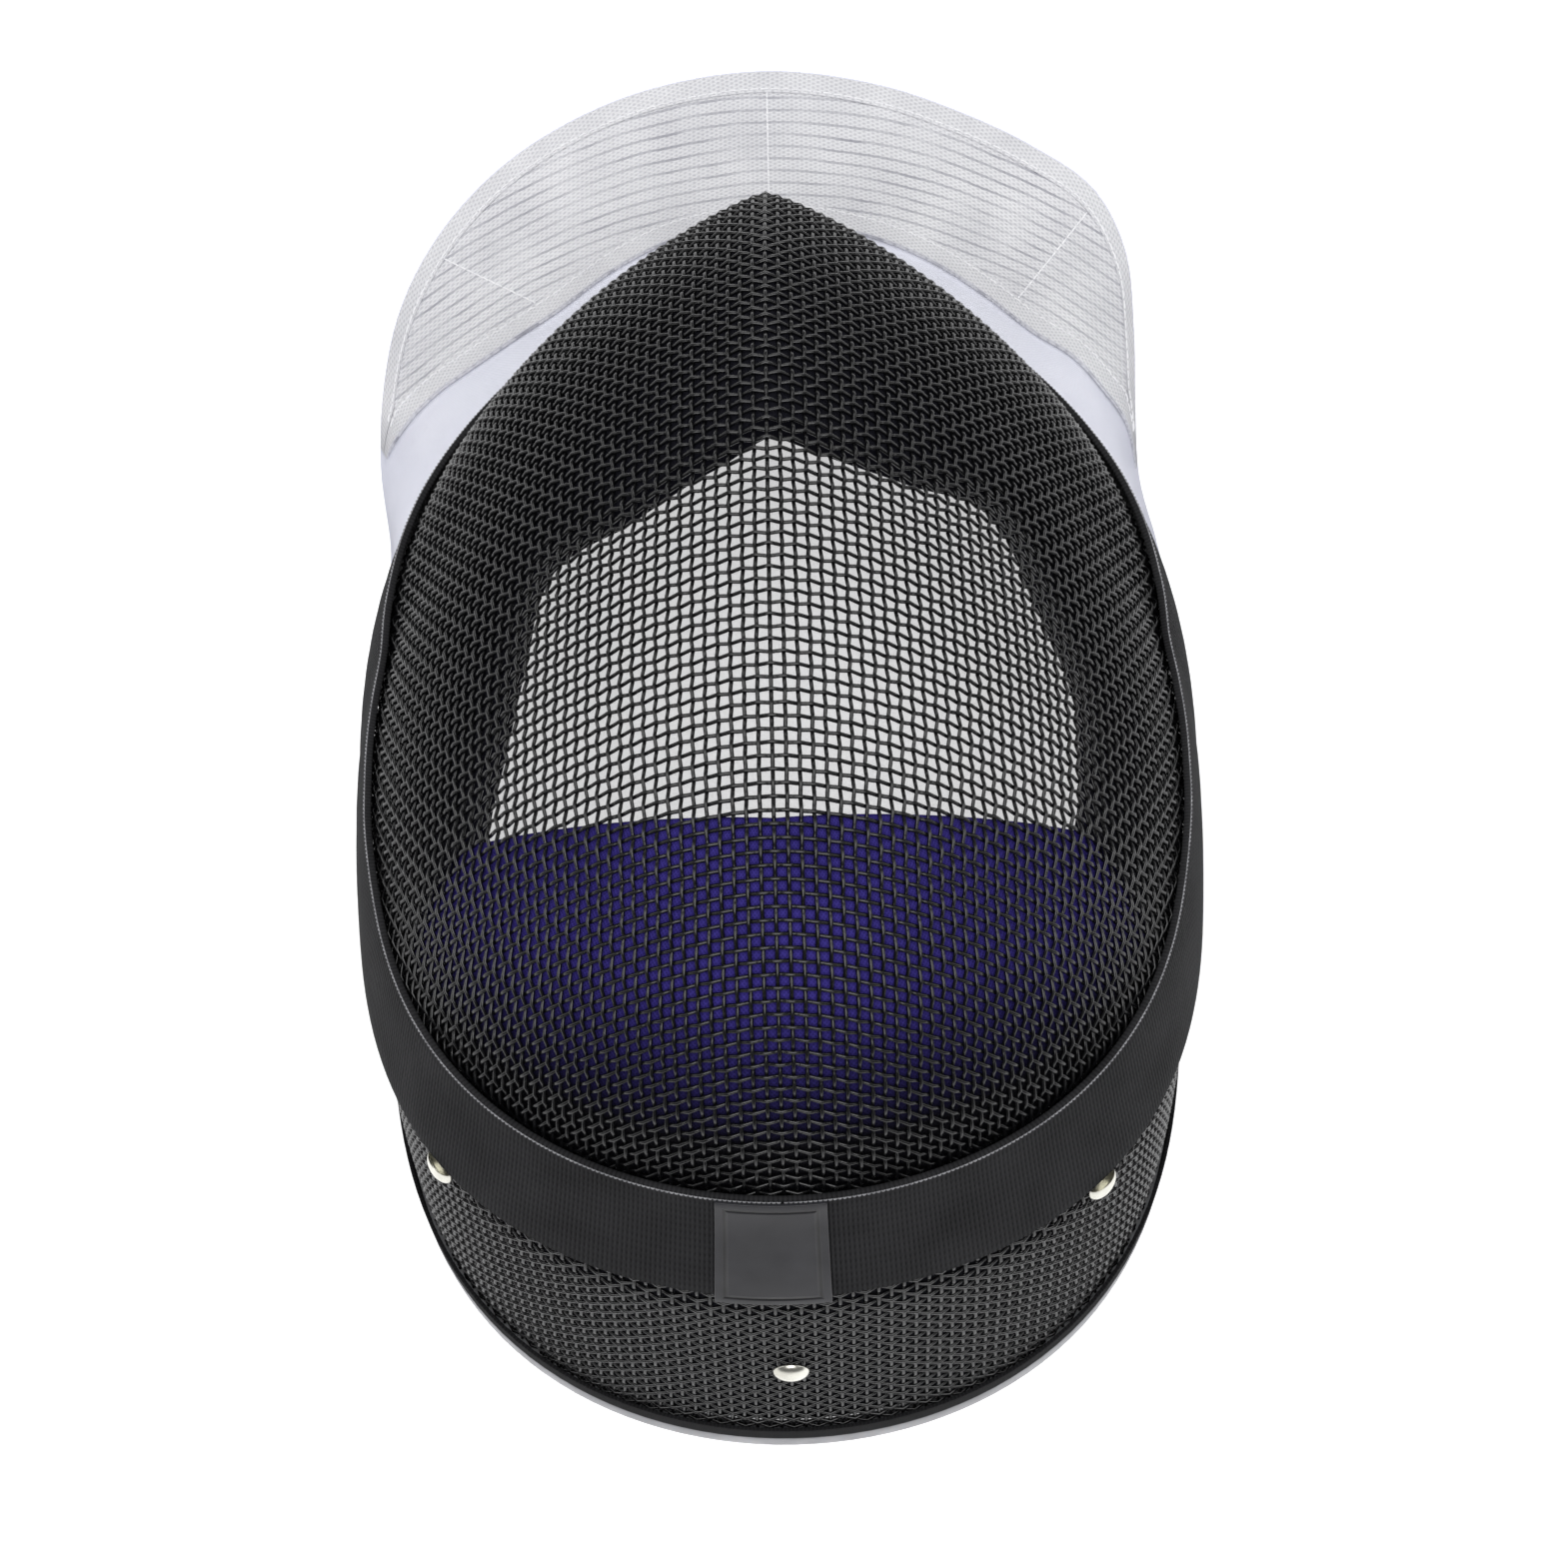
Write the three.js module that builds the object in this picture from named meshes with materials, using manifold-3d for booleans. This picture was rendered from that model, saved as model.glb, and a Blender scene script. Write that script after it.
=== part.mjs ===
// Fencing mask lying on its rear rim: a woven wire shell in two pieces joined under a
// cloth band, pads inside the face, and a cloth bib that spreads from the jaw.
// Millimetres, +Z up, the chin and bib towards +Y, the crown towards -Y.
import * as THREE from 'three';
import { mergeVertices } from 'three/addons/utils/BufferGeometryUtils.js';
import Module from 'manifold-3d';

const RAD = Math.PI / 180;

// Ear axis of the shell and the half width of the shell at that axis.
const EAR_Y = 125.6;
const EAR_Z = 69.6;
const HALF_WIDTH = 98.5;

// Section of the shell at each angle round the ear axis. Angle 0 points to the crown,
// 90 to the front of the face and 180 to the chin.
// columns: angle, reach from the ear axis, side power, arch power
const SHELL_SECTIONS = [
  [-90, 205, 2.0, 3.3],
  [-60, 203, 2.0, 3.3],
  [-40, 191, 2.0, 3.3],
  [-25, 162.9, 2.0, 3.3],
  [-15, 147.6, 2.0, 3.3],
  [-5, 138.6, 2.0, 3.3],
  [3, 135, 1.99, 3.3],
  [10, 133.7, 1.98, 3.3],
  [25, 127.7, 1.95, 3.0],
  [38, 129.8, 1.91, 2.65],
  [50, 128.8, 1.87, 2.35],
  [65, 124.5, 1.7, 2.23],
  [80, 120.2, 1.54, 2.11],
  [100, 115.5, 1.4, 2.05],
  [120, 116.1, 1.38, 1.96],
  [140, 123.7, 1.42, 1.88],
  [156, 134.7, 1.3, 2.15],
  [170, 145.9, 1.2, 2.4],
  [182, 146.4, 1.2, 2.46],
  [200, 148, 1.35, 2.5],
  [225, 164, 1.7, 2.7],
  [250, 186, 2.0, 3.0],
  [270, 205, 2.0, 3.3],
];

// Plane of the seam between face and crown, which falls towards the chin.
const SEAM_Y = 126;
const SEAM_Z = 80.9;
const SEAM_TILT = 15.4 * RAD;
const SEAM_GAP = 0.4;

// Wire wall, half of its thickness on each side of the middle surface.
const WIRE_WALL = 1.0;
const FIT_GAP = 0.5;

// Grid of the closed shell pieces.
const AROUND = 52;
const AROUND_CROWDING = 0.2;
const FACE_ROWS = 14;
const CROWN_ROWS = 7;

// Cloth band over the seam, heights measured square to the seam plane.
const BAND_LOW = -13.7;
const BAND_HIGH = 21;
const BAND_ROWS = 5;
const BAND_THICKNESS = 1.5;
const BAND_INNER = WIRE_WALL + FIT_GAP + 0.1;
const BAND_OUTER = BAND_INNER + BAND_THICKNESS;

// Patch sewn over the band at the crown.
const LABEL_LEFT = -7.2 * RAD;
const LABEL_RIGHT = 4.4 * RAD;
const LABEL_LOW = -14.2;
const LABEL_HIGH = 20.6;
const LABEL_COLUMNS = 6;
const LABEL_ROWS = 7;
const LABEL_THICKNESS = 1.0;
const LABEL_GAP = 0.35;

// Rear rim and the tape strip above it.
const RIM_HEIGHT = 6;
const RIM_HALF = 2.6;
const TAPE_LOW = 6.4;
const TAPE_HIGH = 12.6;
const TAPE_THICKNESS = 1.0;

// Domed rivets of the crown.
// columns: azimuth, height over the seam plane, head kept below this height
const RIVETS = {
  rivet_centre: [0, -60, -30],
  rivet_left: [-39.8, -16, -14.1],
  rivet_right: [35, -16, -14.1],
};
const RIVET_HEAD_RADIUS = 4.4;
const RIVET_HEAD_HEIGHT = 2.4;
const RIVET_STEM_RADIUS = 1.3;
const RIVET_WASHER_RADIUS = 4.0;
const RIVET_WASHER_HEIGHT = 1.0;
const RIVET_CLEARANCE = 0.3;
const RIVET_SEAT_GAP = 1.2;
const RIVET_SIDES = 18;
const RIVET_DOME_STEPS = 5;

// Pads behind the face wire.
const PAD_GAP = 0.9;
const PAD_BASE = 4;
const FOREHEAD_HALF_ANGLE = 55 * RAD;
const FOREHEAD_EDGE_Y = 86;
const FOREHEAD_EDGE_FALL = 0.08;
const FOREHEAD_THICKNESS = 8;
const FOREHEAD_COLUMNS = 18;
const FOREHEAD_ROWS = 8;
const CHIN_THICKNESS = 6.5;
const CHIN_COLUMNS = 32;
const CHIN_ROWS = 6;

// Padded lining that shows between the wires of the crown, clear of the rivets.
// It runs down the crown wall from its start to its end, as parts of that wall.
const CROWN_PAD_HALF_ANGLE = 78 * RAD;
const CROWN_PAD_OUTER = -4.2;
const CROWN_PAD_THICKNESS = 2.5;
const CROWN_PAD_START = 0.1;
const CROWN_PAD_END = 0.94;
const CROWN_PAD_COLUMNS = 12;
const CROWN_PAD_ROWS = 2;

// Edge of the opening in the chin pad, as an elevation over the seam plane.
// columns: turn from the chin towards the left, elevation of the edge
const CHIN_PAD_EDGE = [
  [-124, 30],
  [-100, 35.4],
  [-82, 43],
  [-60, 47.5],
  [-51, 60.5],
  [-31, 69],
  [0, 71],
  [29, 72],
  [62, 64.7],
  [74, 52],
  [97, 48],
  [113, 41.6],
  [124, 32],
];

// Bib from the jaw to the hem, seen from above about the seam centre. The cloth lies a
// little further out on the left than on the right.
// columns: turn from the chin towards the left, reach of the lame's upper edge,
// reach of the hem, height of the hem
const BIB_ROWS_TABLE = [
  [-67, 110.5, 111.5, 2],
  [-58, 119, 120, 2],
  [-50, 127.5, 128.8, 2],
  [-43.5, 136.5, 138, 2],
  [-38.5, 145.7, 152.3, 2],
  [-34, 148.7, 170.4, 2],
  [-30, 150.7, 188, 2.2],
  [-25.5, 151, 200.2, 2.4],
  [-20, 156.2, 205.5, 3],
  [-14, 162.1, 209.5, 4],
  [-8, 166, 213.2, 4.6],
  [0, 168, 215.6, 5],
  [8, 166, 213.9, 4.6],
  [14, 161, 210.1, 4],
  [20, 154.5, 204.2, 3],
  [25.5, 152.1, 196, 2.4],
  [30, 151.6, 187.2, 2.2],
  [34, 152.2, 177.6, 2],
  [38.5, 151.4, 164.6, 2],
  [43.5, 147.1, 149.8, 2],
  [50, 130, 131, 2],
  [58, 119, 120, 2],
  [67, 110.5, 111.5, 2],
];
const BIB_HALF_TURN = 67;
const BIB_TOP = -21.6;
const BIB_FALL = 2.3;
const BIB_THICKNESS = 2.4;
const BIB_OFFSET = 2.9;
const BIB_COLUMNS = 36;
const BIB_ROWS = 7;

// Thin silver-grey layer along the hem of the bib.
const LAME_HALF_TURN = 42.5;
const LAME_THICKNESS = 0.8;
const LAME_GAP = 0.35;
const LAME_HEM_INSET = 0.985;
const LAME_COLUMNS = 30;
const LAME_ROWS = 5;

const wasm = await Module();
wasm.setup();
const { Manifold, Mesh: SolidMesh } = wasm;

// Smooth value of every further column of a table at a place in its first column.
function tableAt(table, place) {
  const last = table.length - 2;
  let k = 0;
  while (k < last && table[k + 1][0] < place) k += 1;
  const before = table[Math.max(k - 1, 0)];
  const start = table[k];
  const end = table[k + 1];
  const after = table[Math.min(k + 2, table.length - 1)];
  const span = end[0] - start[0];
  const t = Math.min(Math.max((place - start[0]) / span, 0), 1);
  const values = [];
  for (let c = 1; c < start.length; c += 1) {
    const slopeStart = (end[c] - before[c]) / (end[0] - before[0]);
    const slopeEnd = (after[c] - start[c]) / (after[0] - start[0]);
    const rise = end[c] - start[c];
    const bend = 3 * rise - span * (2 * slopeStart + slopeEnd);
    const twist = span * (slopeStart + slopeEnd) - 2 * rise;
    values.push(start[c] + t * (span * slopeStart + t * (bend + t * twist)));
  }
  return values;
}

// Below zero inside the shell, above zero outside it.
function shellValue(p) {
  const up = p.z - EAR_Z;
  const back = EAR_Y - p.y;
  let angle = Math.atan2(up, back) / RAD;
  if (angle < -90) angle += 360;
  const [reach, sidePower, archPower] = tableAt(SHELL_SECTIONS, angle);
  const side = Math.abs(p.x) / HALF_WIDTH;
  const arch = Math.hypot(up, back) / reach;
  return side ** sidePower + arch ** archPower - 1;
}

function shellNormal(p) {
  const step = 0.05;
  const slope = (axis) => {
    const ahead = p.clone().addScaledVector(axis, step);
    const behind = p.clone().addScaledVector(axis, -step);
    return shellValue(ahead) - shellValue(behind);
  };
  const x = slope(new THREE.Vector3(1, 0, 0));
  const y = slope(new THREE.Vector3(0, 1, 0));
  const z = slope(new THREE.Vector3(0, 0, 1));
  return new THREE.Vector3(x, y, z).normalize();
}

// Point where a ray from inside meets the shell, moved square to the wall by an offset.
function shellPoint(centre, direction, offset) {
  let near = 0;
  let far = 280;
  for (let k = 0; k < 40; k += 1) {
    const middle = (near + far) / 2;
    const p = centre.clone().addScaledVector(direction, middle);
    if (shellValue(p) < 0) near = middle;
    else far = middle;
  }
  const hit = centre.clone().addScaledVector(direction, near);
  const facing = Math.max(shellNormal(hit).dot(direction), 0.5);
  return hit.addScaledVector(direction, offset / facing);
}

const seamNormal = new THREE.Vector3(0, Math.sin(SEAM_TILT), Math.cos(SEAM_TILT));
const seamCentre = new THREE.Vector3(0, SEAM_Y, SEAM_Z);

// Direction in a plane tilted about X, at an azimuth from the crown.
function planeDirection(azimuth, tilt) {
  const crownward = new THREE.Vector3(0, -Math.cos(tilt), Math.sin(tilt));
  return crownward.multiplyScalar(Math.cos(azimuth)).setX(Math.sin(azimuth));
}

// Point of the shell at a height square to the seam plane.
function seamPoint(azimuth, height, offset) {
  const centre = seamCentre.clone().addScaledVector(seamNormal, height);
  return shellPoint(centre, planeDirection(azimuth, SEAM_TILT), offset);
}

// Point of the shell at an elevation over the seam plane.
function facePoint(azimuth, elevation, offset) {
  const direction = planeDirection(azimuth, SEAM_TILT)
    .multiplyScalar(Math.cos(elevation))
    .addScaledVector(seamNormal, Math.sin(elevation));
  return shellPoint(seamCentre, direction, offset);
}

// Point of the shell at a height over the floor.
function levelPoint(azimuth, height, offset) {
  return shellPoint(new THREE.Vector3(0, SEAM_Y, height), planeDirection(azimuth, 0), offset);
}

// Point of the crown wall between the seam and a level edge near the floor.
function crownPoint(azimuth, part, offset) {
  const top = seamCentre.clone().addScaledVector(seamNormal, -SEAM_GAP);
  const low = new THREE.Vector3(0, SEAM_Y, TAPE_LOW);
  const centre = top.lerp(low, part);
  return shellPoint(centre, planeDirection(azimuth, SEAM_TILT * (1 - part)), offset);
}

// Elevation over the seam plane of the shell at a height square to that plane.
function elevationAt(azimuth, height) {
  const p = seamPoint(azimuth, height, 0).sub(seamCentre);
  const along = p.dot(planeDirection(azimuth, SEAM_TILT));
  return Math.atan2(height, along);
}

// Azimuth of a column, with columns crowded towards the crown and the chin.
function aroundAzimuth(part) {
  const turn = 2 * Math.PI * part;
  return turn - AROUND_CROWDING * Math.sin(2 * turn);
}

// Closed wall between two layers of a grid. pointAt(u, v, layer) gives the outer layer
// for 1 and the inner layer for 0. A wrapped wall closes on itself along u; a poled wall
// ends in one point at v = 1.
function wallGeometry(columns, rows, pointAt, { wrap = false, pole = false } = {}) {
  const across = wrap ? columns : columns + 1;
  const positions = [];
  const index = [];
  const rings = pole ? rows : rows + 1;
  const layerSize = across * rings + (pole ? 1 : 0);
  for (const layer of [0, 1]) {
    for (let j = 0; j < rings; j += 1) {
      for (let i = 0; i < across; i += 1) {
        positions.push(...pointAt(i / columns, j / rows, layer).toArray());
      }
    }
    if (pole) positions.push(...pointAt(0, 1, layer).toArray());
  }
  const at = (i, j, layer) => layer * layerSize + j * across + (i % across);
  const poleAt = (layer) => layer * layerSize + across * rings;
  const quad = (a, b, c, d) => index.push(a, b, c, a, c, d);
  for (let i = 0; i < columns; i += 1) {
    for (let j = 0; j < rings - 1; j += 1) {
      quad(at(i, j, 1), at(i + 1, j, 1), at(i + 1, j + 1, 1), at(i, j + 1, 1));
      quad(at(i, j, 0), at(i, j + 1, 0), at(i + 1, j + 1, 0), at(i + 1, j, 0));
    }
    quad(at(i, 0, 0), at(i + 1, 0, 0), at(i + 1, 0, 1), at(i, 0, 1));
    const end = rings - 1;
    if (pole) {
      index.push(at(i, end, 1), at(i + 1, end, 1), poleAt(1));
      index.push(at(i + 1, end, 0), at(i, end, 0), poleAt(0));
    } else {
      quad(at(i, end, 1), at(i + 1, end, 1), at(i + 1, end, 0), at(i, end, 0));
    }
  }
  if (!wrap) {
    for (let j = 0; j < rings - 1; j += 1) {
      quad(at(0, j, 0), at(0, j, 1), at(0, j + 1, 1), at(0, j + 1, 0));
      const side = columns;
      quad(at(side, j, 1), at(side, j, 0), at(side, j + 1, 0), at(side, j + 1, 1));
    }
  }
  const geometry = new THREE.BufferGeometry();
  geometry.setAttribute('position', new THREE.Float32BufferAttribute(positions, 3));
  geometry.setIndex(index);
  return geometry;
}

function toSolid(geometry) {
  const plain = new THREE.BufferGeometry();
  plain.setAttribute('position', geometry.getAttribute('position').clone());
  plain.setIndex(geometry.getIndex());
  const welded = mergeVertices(plain, 1e-4);
  const mesh = new SolidMesh({
    numProp: 3,
    vertProperties: new Float32Array(welded.getAttribute('position').array),
    triVerts: new Uint32Array(welded.getIndex().array),
  });
  mesh.merge();
  return new Manifold(mesh);
}

function toGeometry(solid) {
  const mesh = solid.getMesh();
  const geometry = new THREE.BufferGeometry();
  const positions = new Float32Array(mesh.vertProperties);
  geometry.setAttribute('position', new THREE.BufferAttribute(positions, 3));
  geometry.setIndex(new THREE.BufferAttribute(new Uint32Array(mesh.triVerts), 1));
  return geometry;
}

const lerp = THREE.MathUtils.lerp;

function faceMesh() {
  return wallGeometry(AROUND, FACE_ROWS, (u, v, layer) => {
    const azimuth = aroundAzimuth(u);
    const start = elevationAt(azimuth, SEAM_GAP);
    const elevation = lerp(start, Math.PI / 2, v);
    return facePoint(azimuth, elevation, lerp(-WIRE_WALL, WIRE_WALL, layer));
  }, { wrap: true, pole: true });
}

function crownMesh() {
  return wallGeometry(AROUND, CROWN_ROWS, (u, v, layer) => {
    return crownPoint(aroundAzimuth(u), 1 - v, lerp(-WIRE_WALL, WIRE_WALL, layer));
  }, { wrap: true });
}

function trimBand() {
  return wallGeometry(AROUND, BAND_ROWS, (u, v, layer) => {
    const height = lerp(BAND_LOW, BAND_HIGH, v);
    return seamPoint(aroundAzimuth(u), height, lerp(BAND_INNER, BAND_OUTER, layer));
  }, { wrap: true });
}

function labelPatch() {
  const inner = BAND_OUTER + LABEL_GAP;
  return wallGeometry(LABEL_COLUMNS, LABEL_ROWS, (u, v, layer) => {
    const azimuth = lerp(LABEL_LEFT, LABEL_RIGHT, u);
    const height = lerp(LABEL_LOW, LABEL_HIGH, v);
    return seamPoint(azimuth, height, inner + layer * LABEL_THICKNESS);
  });
}

function rearRim() {
  return wallGeometry(AROUND, 1, (u, v, layer) => {
    return levelPoint(aroundAzimuth(u), v * RIM_HEIGHT, lerp(-RIM_HALF, RIM_HALF, layer));
  }, { wrap: true });
}

function rimTape() {
  const inner = WIRE_WALL + FIT_GAP;
  return wallGeometry(AROUND, 1, (u, v, layer) => {
    const height = lerp(TAPE_LOW, TAPE_HIGH, v);
    return levelPoint(aroundAzimuth(u), height, inner + layer * TAPE_THICKNESS);
  }, { wrap: true });
}

function foreheadPad() {
  const outer = -WIRE_WALL - PAD_GAP;
  return wallGeometry(FOREHEAD_COLUMNS, FOREHEAD_ROWS, (u, v, layer) => {
    const azimuth = lerp(-FOREHEAD_HALF_ANGLE, FOREHEAD_HALF_ANGLE, u);
    let low = elevationAt(azimuth, PAD_BASE);
    const start = low;
    let high = Math.PI / 2;
    for (let k = 0; k < 30; k += 1) {
      const middle = (low + high) / 2;
      const p = facePoint(azimuth, middle, 0);
      const edge = FOREHEAD_EDGE_Y + FOREHEAD_EDGE_FALL * Math.abs(p.x);
      if (p.y < edge) low = middle;
      else high = middle;
    }
    const elevation = lerp(start, low, v);
    return facePoint(azimuth, elevation, outer - (1 - layer) * FOREHEAD_THICKNESS);
  });
}

function chinPad() {
  const outer = -WIRE_WALL - PAD_GAP;
  const halfTurn = CHIN_PAD_EDGE[CHIN_PAD_EDGE.length - 1][0];
  return wallGeometry(CHIN_COLUMNS, CHIN_ROWS, (u, v, layer) => {
    const turn = lerp(-halfTurn, halfTurn, u);
    const azimuth = Math.PI + turn * RAD;
    const [edge] = tableAt(CHIN_PAD_EDGE, turn);
    const elevation = lerp(elevationAt(azimuth, PAD_BASE), edge * RAD, v);
    return facePoint(azimuth, elevation, outer - (1 - layer) * CHIN_THICKNESS);
  });
}

function crownPad() {
  return wallGeometry(CROWN_PAD_COLUMNS, CROWN_PAD_ROWS, (u, v, layer) => {
    const azimuth = lerp(-CROWN_PAD_HALF_ANGLE, CROWN_PAD_HALF_ANGLE, u);
    const part = lerp(CROWN_PAD_END, CROWN_PAD_START, v);
    return crownPoint(azimuth, part, CROWN_PAD_OUTER - (1 - layer) * CROWN_PAD_THICKNESS);
  });
}

// Middle surface of the bib. part runs from 0 at the jaw to 1 at the hem.
function bibPoint(turn, part) {
  const azimuth = Math.PI + turn * RAD;
  const jaw = seamPoint(azimuth, BIB_TOP, BIB_OFFSET);
  const [, hemReach, hemHeight] = tableAt(BIB_ROWS_TABLE, turn);
  const hem = planeDirection(azimuth, 0).multiplyScalar(hemReach);
  const x = lerp(jaw.x, hem.x, part);
  const y = lerp(jaw.y, SEAM_Y + hem.y, part);
  const z = lerp(hemHeight, jaw.z, (1 - part) ** BIB_FALL);
  return new THREE.Vector3(x, y, z);
}

function bibNormal(turn, part) {
  const step = 0.01;
  const alongPart = bibPoint(turn, Math.min(part + step, 1));
  alongPart.sub(bibPoint(turn, Math.max(part - step, 0)));
  const alongTurn = bibPoint(turn + 1, part).sub(bibPoint(turn - 1, part));
  return alongTurn.cross(alongPart).normalize().negate();
}

function bibLayer(turn, part, offset) {
  return bibPoint(turn, part).addScaledVector(bibNormal(turn, part), offset);
}

function bib() {
  return wallGeometry(BIB_COLUMNS, BIB_ROWS, (u, v, layer) => {
    const turn = lerp(BIB_HALF_TURN, -BIB_HALF_TURN, u);
    return bibLayer(turn, v, (layer - 0.5) * BIB_THICKNESS);
  });
}

function bibLame() {
  const inner = BIB_THICKNESS / 2 + LAME_GAP;
  return wallGeometry(LAME_COLUMNS, LAME_ROWS, (u, v, layer) => {
    const turn = lerp(LAME_HALF_TURN, -LAME_HALF_TURN, u);
    const [upperReach, hemReach] = tableAt(BIB_ROWS_TABLE, turn);
    const jaw = bibPoint(turn, 0);
    const jawReach = Math.hypot(jaw.x, jaw.y - SEAM_Y);
    const start = Math.max((upperReach - jawReach) / (hemReach - jawReach), 0.05);
    const part = lerp(start, LAME_HEM_INSET, v);
    return bibLayer(turn, part, inner + layer * LAME_THICKNESS);
  });
}

// Rivet turned about +Z, its wall middle at the origin.
function rivetParts() {
  const seat = WIRE_WALL + RIVET_SEAT_GAP;
  const dome = [new THREE.Vector2(0, seat)];
  for (let k = 0; k <= RIVET_DOME_STEPS; k += 1) {
    const turn = (Math.PI / 2) * (k / RIVET_DOME_STEPS);
    const radius = k === RIVET_DOME_STEPS ? 0 : RIVET_HEAD_RADIUS * Math.cos(turn);
    dome.push(new THREE.Vector2(radius, seat + RIVET_HEAD_HEIGHT * Math.sin(turn)));
  }
  const washerLow = -seat - RIVET_WASHER_HEIGHT;
  const stem = [
    new THREE.Vector2(0, washerLow),
    new THREE.Vector2(RIVET_WASHER_RADIUS, washerLow),
    new THREE.Vector2(RIVET_WASHER_RADIUS, -seat),
    new THREE.Vector2(RIVET_STEM_RADIUS, -seat),
    new THREE.Vector2(RIVET_STEM_RADIUS, seat + RIVET_CLEARANCE),
    new THREE.Vector2(0, seat + RIVET_CLEARANCE),
  ];
  const turned = (profile) => {
    const geometry = new THREE.LatheGeometry(profile, RIVET_SIDES);
    geometry.rotateX(Math.PI / 2);
    return geometry;
  };
  return { head: turned(dome), stem: turned(stem) };
}

function rivetPlace(azimuth, height) {
  const place = seamPoint(azimuth * RAD, height, 0);
  const turn = new THREE.Quaternion();
  turn.setFromUnitVectors(new THREE.Vector3(0, 0, 1), shellNormal(place));
  return new THREE.Matrix4().compose(place, turn, new THREE.Vector3(1, 1, 1));
}

function rivet(azimuth, height, keepBelow) {
  const { head, stem } = rivetParts();
  const place = rivetPlace(azimuth, height);
  const level = seamNormal.dot(seamCentre) + keepBelow;
  const below = seamNormal.clone().negate();
  const headSolid = toSolid(head.applyMatrix4(place)).trimByPlane(below.toArray(), -level);
  return toGeometry(headSolid.add(toSolid(stem.applyMatrix4(place))));
}

function rivetHole(azimuth, height) {
  const radius = RIVET_STEM_RADIUS + RIVET_CLEARANCE;
  const bore = new THREE.CylinderGeometry(radius, radius, 8 * WIRE_WALL, RIVET_SIDES);
  bore.rotateX(Math.PI / 2);
  return toSolid(bore.applyMatrix4(rivetPlace(azimuth, height)));
}

function crownWithHoles() {
  let solid = toSolid(crownMesh());
  for (const [azimuth, height] of Object.values(RIVETS)) {
    solid = solid.subtract(rivetHole(azimuth, height));
  }
  return toGeometry(solid);
}

const group = new THREE.Group();
group.name = 'fencing_mask';

// Finishes, as colour, roughness and metalness.
const FINISHES = {
  wire: ['#1b1b1d', 0.42, 0.3],
  knit: ['#2d2d2f', 0.9, 0],
  vinyl: ['#3f3f42', 0.55, 0],
  nickel: ['#cfcdc4', 0.3, 1],
  rim: ['#77777b', 0.5, 0],
  tape: ['#151517', 0.85, 0],
  navy: ['#30286e', 0.95, 0],
  padding: ['#16161c', 0.95, 0],
  cloth: ['#eef0fe', 0.9, 0],
  lame: ['#cdcdd1', 0.6, 0.2],
};

function addPiece(name, geometry, finish) {
  const [color, roughness, metalness] = FINISHES[finish];
  const material = new THREE.MeshStandardMaterial({ color, roughness, metalness });
  geometry.computeVertexNormals();
  const mesh = new THREE.Mesh(geometry, material);
  mesh.name = name;
  group.add(mesh);
}

addPiece('face_mesh', faceMesh(), 'wire');
addPiece('crown_mesh', crownWithHoles(), 'wire');
addPiece('trim_band', trimBand(), 'knit');
addPiece('label_patch', labelPatch(), 'vinyl');
for (const [name, [azimuth, height, keepBelow]] of Object.entries(RIVETS)) {
  addPiece(name, rivet(azimuth, height, keepBelow), 'nickel');
}
addPiece('rear_rim', rearRim(), 'rim');
addPiece('rim_tape', rimTape(), 'tape');
addPiece('forehead_pad', foreheadPad(), 'navy');
addPiece('chin_pad', chinPad(), 'padding');
addPiece('crown_pad', crownPad(), 'padding');
addPiece('bib', bib(), 'cloth');
addPiece('bib_lame', bibLame(), 'lame');

// The middle of the outline, on the floor, becomes the origin.
const outline = new THREE.Box3().setFromObject(group);
const middle = outline.getCenter(new THREE.Vector3());
for (const piece of group.children) {
  piece.geometry.translate(-middle.x, -middle.y, -outline.min.z);
}

export default group;
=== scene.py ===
import math
import bmesh
import bpy
import numpy as np
from mathutils import Matrix, Vector


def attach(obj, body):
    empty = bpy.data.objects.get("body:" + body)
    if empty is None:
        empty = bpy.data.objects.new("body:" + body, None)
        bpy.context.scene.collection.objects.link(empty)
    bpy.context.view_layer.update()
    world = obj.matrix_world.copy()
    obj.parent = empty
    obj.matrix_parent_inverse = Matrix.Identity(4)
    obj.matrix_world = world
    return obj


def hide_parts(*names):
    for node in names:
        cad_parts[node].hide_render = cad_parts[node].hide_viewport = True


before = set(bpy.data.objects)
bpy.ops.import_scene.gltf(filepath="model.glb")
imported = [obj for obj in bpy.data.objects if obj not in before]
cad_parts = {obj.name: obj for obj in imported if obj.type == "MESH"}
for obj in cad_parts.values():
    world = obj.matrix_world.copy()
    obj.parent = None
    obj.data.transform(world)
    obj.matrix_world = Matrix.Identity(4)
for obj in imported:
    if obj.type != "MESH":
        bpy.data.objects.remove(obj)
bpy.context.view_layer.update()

MM = 0.001
# The shell is drawn with its crown rim near Y 0; the part's frame has its origin further on.
SHIFT_Y = 158.43

EAR_Y = 125.6
EAR_Z = 69.6
HALF_WIDTH = 98.5
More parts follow.
